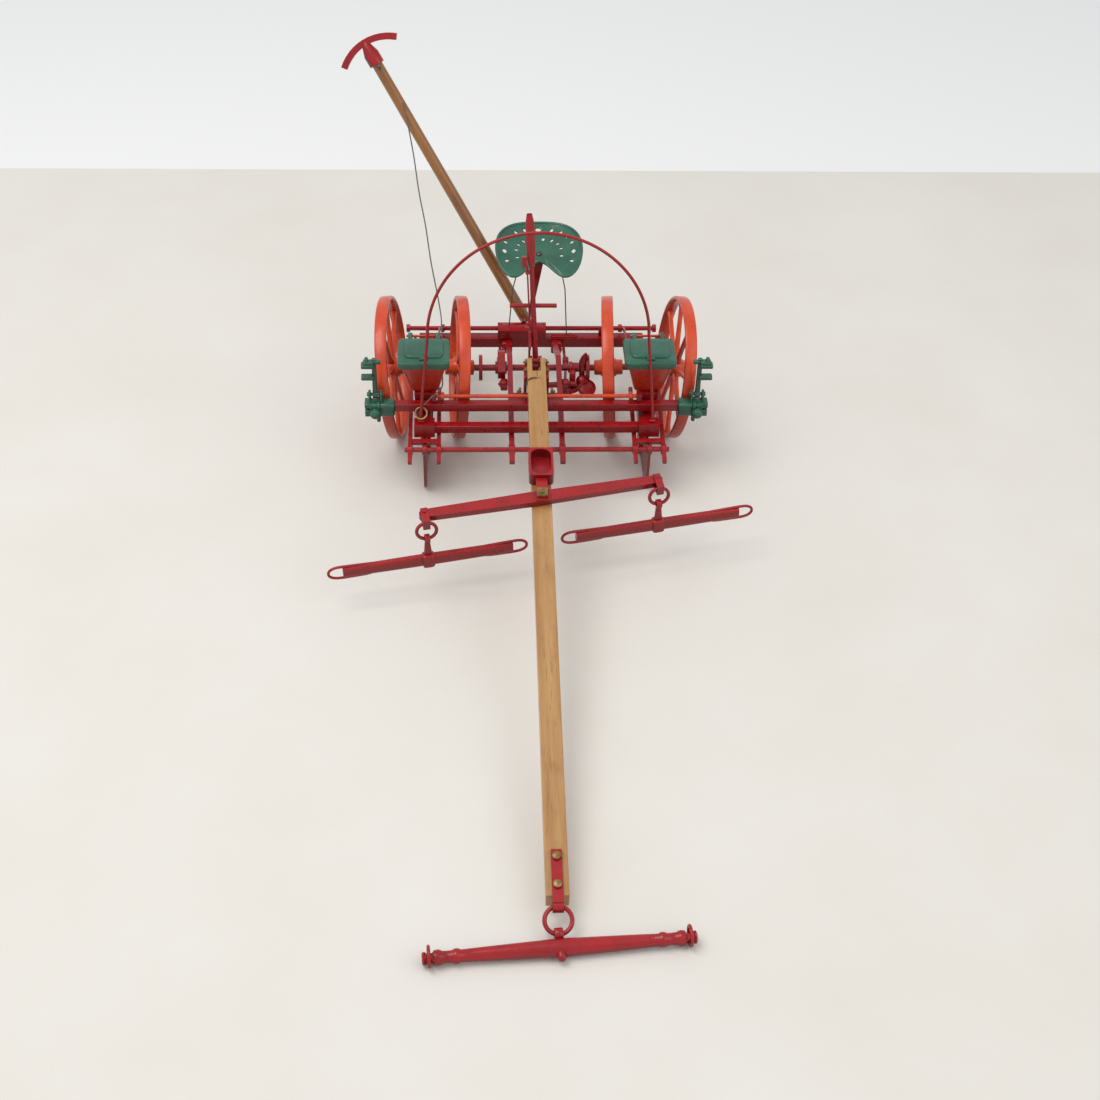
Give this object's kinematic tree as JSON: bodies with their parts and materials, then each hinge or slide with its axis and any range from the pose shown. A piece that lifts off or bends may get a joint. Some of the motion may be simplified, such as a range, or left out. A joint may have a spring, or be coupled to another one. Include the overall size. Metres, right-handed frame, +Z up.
{
  "type": "corn planter",
  "caption": "Display model of a horse-drawn corn planter: check-row planter with press wheels astride each row, lidded seed hoppers, runners, lift lever, seat and marker arm.",
  "frame": {"origin": "middle of the footprint of the rigid machine, on the ground", "axes": "+X to the machine's left-hand side as seen from the seat facing the tongue, +Y to the rear, away from the tongue, +Z up"},
  "size_m": [0.243, 0.5514, 0.2033],
  "materials": {
    "crimson_enamel": "glossy crimson enamel",
    "runner_enamel": "worn dark crimson enamel",
    "orange_enamel": "satin orange enamel",
    "hopper_enamel": "glossy orange-red enamel",
    "green_enamel": "satin blue-green enamel",
    "pale_wood": "pale varnished wood",
    "stained_wood": "brown stained wood",
    "brass": "dull brass",
    "bare_iron": "dark iron",
    "grey_cord": "grey braided cord"
  },
  "bodies": {
    "root": {"main_axle": "crimson_enamel", "side_rail_left": "crimson_enamel", "side_rail_right": "crimson_enamel", "front_rod": "crimson_enamel", "front_crossbar": "crimson_enamel", "check_bar": "crimson_enamel", "rear_beam": "crimson_enamel", "rear_rod": "crimson_enamel", "marker_bracket": "crimson_enamel", "runner_straps_left": "crimson_enamel", "runner_straps_right": "crimson_enamel", "boot_left": "crimson_enamel", "boot_right": "crimson_enamel", "rope_arch": "crimson_enamel", "tongue_plate": "crimson_enamel", "tool_box": "crimson_enamel", "tongue_strap": "crimson_enamel", "lever_bracket": "crimson_enamel", "drop_drive": "crimson_enamel", "shift_bracket": "crimson_enamel", "seat_post": "crimson_enamel", "runner_left": "runner_enamel", "runner_right": "runner_enamel", "hopper_left": "hopper_enamel", "hopper_right": "hopper_enamel", "check_head_left": "green_enamel", "check_head_right": "green_enamel", "seat": "green_enamel", "tongue": "pale_wood", "evener_bolt": "brass", "rope_ring": "brass", "seat_brace_left": "bare_iron", "seat_brace_right": "bare_iron", "marker_rope": "grey_cord"},
    "wheel_left_inner": {"wheel_left_inner": "orange_enamel"},
    "wheel_left_outer": {"wheel_left_outer": "orange_enamel"},
    "wheel_right_inner": {"wheel_right_inner": "orange_enamel"},
    "wheel_right_outer": {"wheel_right_outer": "orange_enamel"},
    "lift_lever": {"lift_lever": "crimson_enamel"},
    "lever_latch": {"lever_latch": "crimson_enamel"},
    "lid_left": {"lid_left": "green_enamel"},
    "lid_right": {"lid_right": "green_enamel"},
    "check_fork_left": {"check_fork_left": "green_enamel"},
    "check_fork_right": {"check_fork_right": "green_enamel"},
    "feed_shaft": {"feed_shaft": "orange_enamel"},
    "seed_plate_left": {"seed_plate_left": "bare_iron"},
    "seed_plate_right": {"seed_plate_right": "bare_iron"},
    "marker_arm": {"marker_pole": "stained_wood", "marker_shoe": "crimson_enamel"},
    "doubletree": {"doubletree": "crimson_enamel"},
    "clevis_left": {"clevis_left": "crimson_enamel"},
    "clevis_right": {"clevis_right": "crimson_enamel"},
    "clevis_ring_left": {"clevis_ring_left": "crimson_enamel"},
    "clevis_ring_right": {"clevis_ring_right": "crimson_enamel"},
    "singletree_left": {"singletree_left": "crimson_enamel"},
    "singletree_right": {"singletree_right": "crimson_enamel"},
    "yoke_ring": {"yoke_ring": "bare_iron"},
    "neck_yoke": {"neck_yoke": "crimson_enamel"},
    "yoke_end_ring_left": {"yoke_end_ring_left": "bare_iron"},
    "yoke_end_ring_right": {"yoke_end_ring_right": "bare_iron"}
  },
  "joints": [
    {"name": "wheel_left_inner_spin", "type": "hinge", "parent": "root", "child": "wheel_left_inner", "pos_m": [-0.04783, 0.14259, 0.04394], "axis": [0.9964, 0.0557, -0.0644], "continuous": true},
    {"name": "wheel_left_outer_spin", "type": "hinge", "parent": "root", "child": "wheel_left_outer", "pos_m": [-0.08903, 0.14259, 0.04394], "axis": [0.992, -0.0555, 0.113], "continuous": true},
    {"name": "wheel_right_inner_spin", "type": "hinge", "parent": "root", "child": "wheel_right_inner", "pos_m": [0.04437, 0.14259, 0.04394], "axis": [0.9964, -0.0557, 0.0644], "continuous": true},
    {"name": "wheel_right_outer_spin", "type": "hinge", "parent": "root", "child": "wheel_right_outer", "pos_m": [0.08557, 0.14259, 0.04394], "axis": [0.992, 0.0555, -0.113], "continuous": true},
    {"name": "lift_lever_swing", "type": "hinge", "parent": "root", "child": "lift_lever", "pos_m": [-0.00173, 0.12359, 0.062], "axis": [-1, 0, 0], "range_deg": [-6, 24]},
    {"name": "lever_latch_slide", "type": "slide", "parent": "lift_lever", "child": "lever_latch", "axis": [-0.0512, 0.2079, 0.9768], "range_m": [0, 0.0015], "stiffness_N_per_m": 40, "springref_m": -0.0004},
    {"name": "lid_left_hinge", "type": "hinge", "parent": "root", "child": "lid_left", "pos_m": [-0.06843, 0.12189, 0.0806], "axis": [-1, 0, 0], "range_deg": [0, 100]},
    {"name": "lid_right_hinge", "type": "hinge", "parent": "root", "child": "lid_right", "pos_m": [0.06497, 0.12189, 0.0806], "axis": [-1, 0, 0], "range_deg": [0, 100]},
    {"name": "check_fork_left_trip", "type": "hinge", "parent": "root", "child": "check_fork_left", "pos_m": [-0.09723, 0.09509, 0.0574], "axis": [-1, 0, 0], "range_deg": [0, 35], "stiffness_Nm_per_rad": 0.01, "springref_deg": -5.73},
    {"name": "check_fork_right_trip", "type": "hinge", "parent": "root", "child": "check_fork_right", "pos_m": [0.09377, 0.09509, 0.0574], "axis": [-1, 0, 0], "range_deg": [0, 35], "stiffness_Nm_per_rad": 0.01, "springref_deg": -5.73},
    {"name": "feed_shaft_turn", "type": "hinge", "parent": "root", "child": "feed_shaft", "pos_m": [-0.00173, 0.09659, 0.0548], "axis": [1, 0, 0], "continuous": true},
    {"name": "seed_plate_left_turn", "type": "hinge", "parent": "root", "child": "seed_plate_left", "pos_m": [-0.06843, 0.10609, 0.0579], "axis": [0, 0, 1], "continuous": true},
    {"name": "seed_plate_right_turn", "type": "hinge", "parent": "root", "child": "seed_plate_right", "pos_m": [0.06497, 0.10609, 0.0579], "axis": [0, 0, 1], "continuous": true},
    {"name": "marker_arm_drop", "type": "hinge", "parent": "root", "child": "marker_arm", "pos_m": [-0.00673, 0.20459, 0.042], "axis": [0, -1, 0], "range_deg": [0, 62], "deforming": ["marker_rope"]},
    {"name": "doubletree_swing", "type": "hinge", "parent": "root", "child": "doubletree", "pos_m": [-0.00173, 0.00109, 0.05179], "axis": [0, -0.1518, 0.9884], "range_deg": [-28, 4]},
    {"name": "clevis_left_turn", "type": "hinge", "parent": "doubletree", "child": "clevis_left", "pos_m": [-0.06652, -0.01136, 0.04988], "axis": [0, -0.1518, 0.9884], "range_deg": [-12, 12]},
    {"name": "clevis_ring_left_swing", "type": "hinge", "parent": "clevis_left", "child": "clevis_ring_left", "pos_m": [-0.06553, -0.01662, 0.05049], "axis": [0.9816, 0.1886, 0.029], "range_deg": [-30, 5]},
    {"name": "singletree_left_swing", "type": "hinge", "parent": "clevis_ring_left", "child": "singletree_left", "pos_m": [-0.06521, -0.01656, 0.03949], "axis": [0.9816, 0.1886, 0.029], "range_deg": [-30, 20]},
    {"name": "clevis_right_turn", "type": "hinge", "parent": "doubletree", "child": "clevis_right", "pos_m": [0.06306, 0.01354, 0.0537], "axis": [0, -0.1518, 0.9884], "range_deg": [-12, 12]},
    {"name": "clevis_ring_right_swing", "type": "hinge", "parent": "clevis_right", "child": "clevis_ring_right", "pos_m": [0.06405, 0.00828, 0.05431], "axis": [0.9816, 0.1886, 0.029], "range_deg": [-30, 5]},
    {"name": "singletree_right_swing", "type": "hinge", "parent": "clevis_ring_right", "child": "singletree_right", "pos_m": [0.06436, 0.00834, 0.04331], "axis": [0.9816, 0.1886, 0.029], "range_deg": [-30, 20]},
    {"name": "yoke_ring_swing", "type": "hinge", "parent": "root", "child": "yoke_ring", "pos_m": [-0.00173, -0.24741, 0.0111], "axis": [-1, 0, 0], "range_deg": [-15, 60]},
    {"name": "neck_yoke_swing", "type": "hinge", "parent": "yoke_ring", "child": "neck_yoke", "pos_m": [-0.00173, -0.25871, 0.00509], "axis": [-1, 0, 0], "range_deg": [-40, 40]},
    {"name": "yoke_end_ring_left_turn", "type": "hinge", "parent": "neck_yoke", "child": "yoke_end_ring_left", "pos_m": [-0.061, -0.2703, 0.0042], "axis": [0.9969, 0.0785, 0], "range_deg": [-90, 90]},
    {"name": "yoke_end_ring_right_turn", "type": "hinge", "parent": "neck_yoke", "child": "yoke_end_ring_right", "pos_m": [0.05862, -0.26089, 0.0042], "axis": [0.9969, 0.0785, 0], "range_deg": [-90, 90]}
  ],
  "couplings": [
    {"joint": "seed_plate_left_turn", "follows": "feed_shaft_turn", "ratio": 1},
    {"joint": "seed_plate_right_turn", "follows": "feed_shaft_turn", "ratio": -1}
  ]
}
